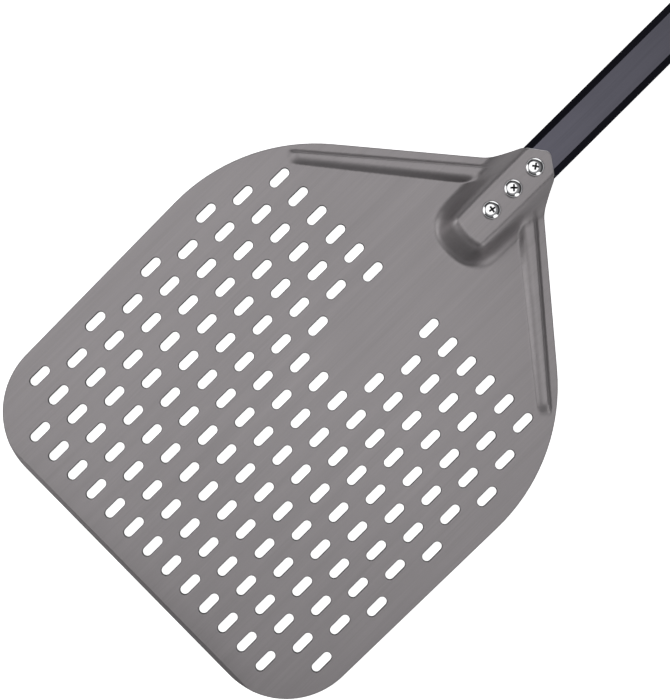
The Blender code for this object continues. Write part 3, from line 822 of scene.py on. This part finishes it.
def make_neck_screw(place, turn, material, recess_shade_material):
    """A domed head with a cross recess, and a plain shank down into the barrel nut."""
    node = f"neck_screw_{place}"
    low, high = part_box(node)
    radius = (high.x - low.x) / 2
    middle = ((low.x + high.x) / 2, 0, 0)
    seat = high.z - SCREW_HEAD_HEIGHT
    rim = seat + SCREW_RIM_HEIGHT
    dome_radius = radius - SCREW_DOME_INSET
    dome_height = high.z - rim
    edge = 0.35 * MM
    tip = 0.4 * MM
    profile = []
    for degrees in range(0, 85, 6):
        angle = math.radians(degrees)
        profile.append((dome_radius * math.sin(angle), rim + dome_height * math.cos(angle)))
    profile += arc((radius - edge, rim - 0.1 * MM), edge, 40, 0, 3)
    profile += arc((radius - edge, seat + edge), edge, 0, -90, 4)
    profile += [(SCREW_SHANK_RADIUS, seat), (SCREW_SHANK_RADIUS, low.z + tip)]
    profile += [(SCREW_SHANK_RADIUS - tip, low.z), (0, low.z)]
    head = loose_object(f"pan_head_screw_{place}", turned(profile, middle))
    for blade in (0, QUARTER):
        cut(head, recess((middle[0], 0, high.z), RECESS_SPAN, turn + blade))

    def in_recess(face):
        off_axis = math.hypot(face.center.x - middle[0], face.center.y)
        if off_axis > RECESS_SPAN / 2 or face.center.z < seat:
            return False
        surface = rim + dome_height * math.sqrt(1 - (off_axis / dome_radius) ** 2)
        return face.center.z < surface - 0.1 * MM

    # The faces inside the cross recess are coloured near black: painted shade in the recess.
    mark_faces(head, in_recess)
    return finished(head, [material, recess_shade_material], PEEL, node)


def make_barrel_nut(place, material):
    """A barrel closed below by a flange with a screwdriver slot."""
    node = f"barrel_nut_{place}"
    low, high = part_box(node)
    radius = (high.x - low.x) / 2
    middle = ((low.x + high.x) / 2, 0, 0)
    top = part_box("handle_tube")[0].z - GAP
    edge = 0.8 * MM
    bevel = 0.2 * MM
    profile = [(0, NUT_BORE_FLOOR), (NUT_BORE_RADIUS, NUT_BORE_FLOOR), (NUT_BORE_RADIUS, high.z)]
    profile += arc((NUT_BARREL_RADIUS - bevel, high.z - bevel), bevel, 90, 0, 3)
    profile += [(NUT_BARREL_RADIUS, top)]
    profile += arc((radius - bevel, top - bevel), bevel, 90, 0, 3)
    profile += arc((radius - edge, low.z + edge), edge, 0, -90)
    profile += [(0, low.z)]
    nut = loose_object(f"slotted_barrel_nut_{place}", turned(profile, middle))
    solid = bmesh.new()
    size = Matrix.Diagonal((3 * radius, NUT_SLOT_WIDTH, 2 * NUT_SLOT_DEPTH, 1))
    bmesh.ops.create_cube(solid, size=1, matrix=Matrix.Translation((middle[0], 0, low.z)) @ size)
    cut(nut, loose_object("slot_cutter", solid))
    return finished(nut, [material], PEEL, node)


def make_front_plug(material):
    """The plug's flange, slightly domed, with its spigot in the tube."""
    low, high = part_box("tube_front_plug")
    middle = (low.z + high.z) / 2
    flange = low.x + PLUG_FLANGE
    spigot = TUBE_WALL + GAP
    chamfer_length, chamfer_depth = SPIGOT_CHAMFER
    stations = [(low.x + x, depth) for x, depth in PLUG_EDGE]
    stations += [(flange, 0), (flange, spigot)]
    stations += [(high.x - chamfer_length, spigot), (high.x, spigot + chamfer_depth)]
    solid = lofted(tube_section(), stations)
    bmesh.ops.translate(solid, verts=solid.verts[:], vec=(0, 0, middle))
    piece = loose_object("front_plug_moulding", solid)
    return finished(piece, [material], PEEL, "tube_front_plug")


def make_grip(material):
    """A soft sleeve: a rounded collar at each end and shallow grooves across its middle."""
    low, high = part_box("grip")
    middle = (low.z + high.z) / 2
    length = high.x - low.x
    end_length, end_depth = GRIP_END
    stations = [(0, end_depth)]
    for turn in (0.4, 0.8, 1.2, QUARTER):
        stations.append((end_length * (1 - math.cos(turn)), end_depth * (1 - math.sin(turn))))
    stations += GRIP_NECK
    for groove in range(GRIP_GROOVES):
        start = GRIP_GROOVE_START + groove * GRIP_GROOVE_PITCH
        for step in range(GRIP_GROOVE_STEPS + 1):
            share = step / GRIP_GROOVE_STEPS
            depth = GRIP_GROOVE_DEPTH * math.sin(share * math.pi) ** 2
            stations.append((start + share * GRIP_GROOVE_WIDTH, depth))
    stations += [(length - x, depth) for x, depth in reversed(GRIP_CAP_ROUNDING)]
    section = rounded_rectangle(high.y - low.y, high.z - low.z, GRIP_CORNER)
    solid = lofted(section, [(low.x + x, depth) for x, depth in stations], tube_section(-GAP))
    bmesh.ops.translate(solid, verts=solid.verts[:], vec=(0, 0, middle))
    piece = loose_object("grip_sleeve", solid)
    low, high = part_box("end_cap_screw")
    place = ((low.x + high.x) / 2, 0, 0)
    cut(piece, rod((high.x - low.x) / 2 + GAP, TUBE_HEIGHT, place))
    return finished(piece, [material], PEEL, "grip", angle=50)


def make_end_cap(material):
    """The cap's head with its rounded rear rim, and the spigot that the cap screw holds."""
    low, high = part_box("end_cap")
    middle = (low.z + high.z) / 2
    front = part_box("grip")[1].x + GAP
    section = rounded_rectangle(high.y - low.y, high.z - low.z, GRIP_CORNER)
    stations = [(front + x, depth) for x, depth in GRIP_CAP_ROUNDING]
    for degrees in range(0, 91, 10):
        angle = math.radians(degrees)
        x = high.x - CAP_EDGE * (1 - math.sin(angle))
        stations.append((x, CAP_EDGE * (1 - math.cos(angle))))
    head = lofted(section, stations)
    bmesh.ops.translate(head, verts=head.verts[:], vec=(0, 0, middle))
    piece = loose_object("end_cap_moulding", head)
    chamfer_length, chamfer_depth = SPIGOT_CHAMFER
    stations = [(low.x, chamfer_depth), (low.x + chamfer_length, 0)]
    stations += [(front + CAP_SPIGOT_OVERLAP, 0)]
    spigot = lofted(tube_section(TUBE_WALL + GAP), stations)
    bmesh.ops.translate(spigot, verts=spigot.verts[:], vec=(0, 0, middle))
    combine(piece, loose_object("spigot", spigot), "UNION")
    across = Matrix.Rotation(QUARTER, 4, "X")
    cut(piece, rod(LOOP_WIRE_RADIUS + GAP, 2 * (high.y - low.y), PIVOT, turn=across))
    return finished(piece, [material], PEEL, "end_cap", angle=45)


def make_cap_screw(material):
    """A screw driven up from below, with a chamfered tip and a cross recess in its head."""
    low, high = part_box("end_cap_screw")
    radius = (high.x - low.x) / 2
    middle = ((low.x + high.x) / 2, 0, 0)
    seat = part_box("handle_tube")[0].z - GAP
    edge = 0.4 * MM
    profile = [(0, high.z), (CAP_SCREW_SHANK_RADIUS - 0.8 * MM, high.z)]
    profile += [(CAP_SCREW_SHANK_RADIUS, high.z - 1.2 * MM), (CAP_SCREW_SHANK_RADIUS, seat)]
    profile += [(radius, seat)]
    profile += arc((radius - edge, low.z + edge), edge, 0, -90, 4)
    profile += [(0, low.z)]
    screw = loose_object("cap_screw_turned", turned(profile, middle))
    for blade in (0, QUARTER):
        cut(screw, recess((middle[0], 0, low.z), CAP_SCREW_RECESS_SPAN, QUARTER / 2 + blade))
    return finished(screw, [material], PEEL, "end_cap_screw")


def make_hang_loop(material):
    """The wire loop, with both ends turned into the cap."""
    low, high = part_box("hang_loop")
    drop = PIVOT.z - LOOP_WIRE_RADIUS - low.z
    reach = math.hypot(high.x - LOOP_WIRE_RADIUS - PIVOT.x, drop)
    half_width = high.y - LOOP_WIRE_RADIUS
    half = [(0, half_width, LOOP_BEND), (reach, half_width, LOOP_END_BEND)]
    corners = [(0, LOOP_END_IN_CAP, 0), *half]
    corners += [(x, -y, radius) for x, y, radius in reversed(half)]
    corners += [(0, -LOOP_END_IN_CAP, 0)]
    curve = bpy.data.curves.new("wire_loop", "CURVE")
    curve.dimensions = "3D"
    curve.bevel_depth = LOOP_WIRE_RADIUS
    curve.bevel_resolution = 6
    curve.use_fill_caps = True
    route = rounded_path(corners, math.radians(6))
    spline = curve.splines.new("POLY")
    spline.points.add(len(route) - 1)
    droop = math.asin(drop / reach)
    for point, place in zip(spline.points, route):
        point.co = (
            PIVOT.x + place.x * math.cos(droop), place.y, PIVOT.z - place.x * math.sin(droop), 1
        )
    guide = bpy.data.objects.new("loop_guide", curve)
    bpy.context.scene.collection.objects.link(guide)
    bpy.context.view_layer.update()
    solid = bmesh.new()
    solid.from_mesh(bpy.data.meshes.new_from_object(guide))
    bmesh.ops.remove_doubles(solid, verts=solid.verts[:], dist=0.01 * MM)
    bpy.data.objects.remove(guide)
    return finished(loose_object("wire_loop", solid), [material], LOOP, "hang_loop")


def make_peel():
    anodised = brushed_metal(
        "hard_anodised_aluminium", (0.258, 0.243, 0.248), (0.3, 0.281, 0.287),
        roughness=(0.42, 0.46), grain=(14, 1500), strength=0.10, metallic=0.85,
    )
    satin = brushed_metal(
        "black_tube_satin", (0.1, 0.098, 0.12), (0.12, 0.117, 0.143),
        roughness=(0.38, 0.46), grain=(20, 1800), strength=0.06,
    )
    # A far darker, glossier copy of the tube's black metal for its sides and chamfers: painted shade.
    tube_side_painted_shade = brushed_metal(
        "black_tube_gloss_painted_shade", (0.012, 0.012, 0.018), (0.018, 0.018, 0.026),
        roughness=(0.22, 0.3), grain=(20, 1800), strength=0.03,
    )
    chrome = brushed_metal(
        "chromed_steel", (0.78, 0.78, 0.79), (0.86, 0.86, 0.87),
        roughness=(0.07, 0.12), grain=(300, 400), strength=0.02,
    )
    plated = brushed_metal(
        "plated_steel", (0.42, 0.42, 0.43), (0.56, 0.56, 0.57),
        roughness=(0.25, 0.35), grain=(300, 500), strength=0.05,
    )
    stainless = brushed_metal(
        "stainless_wire", (0.5, 0.5, 0.5), (0.62, 0.62, 0.62),
        roughness=(0.2, 0.3), grain=(60, 900), strength=0.05,
    )
    plastic = moulded(
        "black_plastic", (0.012, 0.012, 0.013), (0.02, 0.02, 0.021),
        roughness=(0.42, 0.55), grain=2600, strength=0.12,
    )
    rubber = moulded(
        "grip_rubber", (0.016, 0.016, 0.017), (0.026, 0.026, 0.027),
        roughness=(0.62, 0.75), grain=2200, strength=0.25,
    )
    cut_edge = brushed_metal(
        "dark_cut_edge", (0.05, 0.05, 0.052), (0.07, 0.07, 0.072),
        roughness=(0.5, 0.6), grain=(300, 500), strength=0.05,
    )
    # A far brighter copy of the cut edge, for the tongue's rim only: a painted highlight.
    tongue_edge_painted_highlight = brushed_metal(
        "tongue_cut_edge_painted_highlight", (0.55, 0.54, 0.55), (0.66, 0.65, 0.66),
        roughness=(0.3, 0.4), grain=(300, 500), strength=0.05,
    )
    # Near black, for inside the screws' cross recesses: painted shade.
    recess_painted_shade = moulded(
        "recess_painted_shade", (0.006, 0.006, 0.006), (0.012, 0.012, 0.012),
        roughness=(0.7, 0.8), grain=900, strength=0.1,
    )
    make_blade(anodised, cut_edge, tongue_edge_painted_highlight)
    make_tube(satin, tube_side_painted_shade)
    make_front_plug(plastic)
    for place, degrees in SCREW_TURNS.items():
        make_neck_screw(place, math.radians(degrees), chrome, recess_painted_shade)
        make_barrel_nut(place, plated)
    make_grip(rubber)
    make_end_cap(plastic)
    make_cap_screw(plated)
    make_hang_loop(stainless)


make_camera()
make_floor()
make_light()
make_peel()
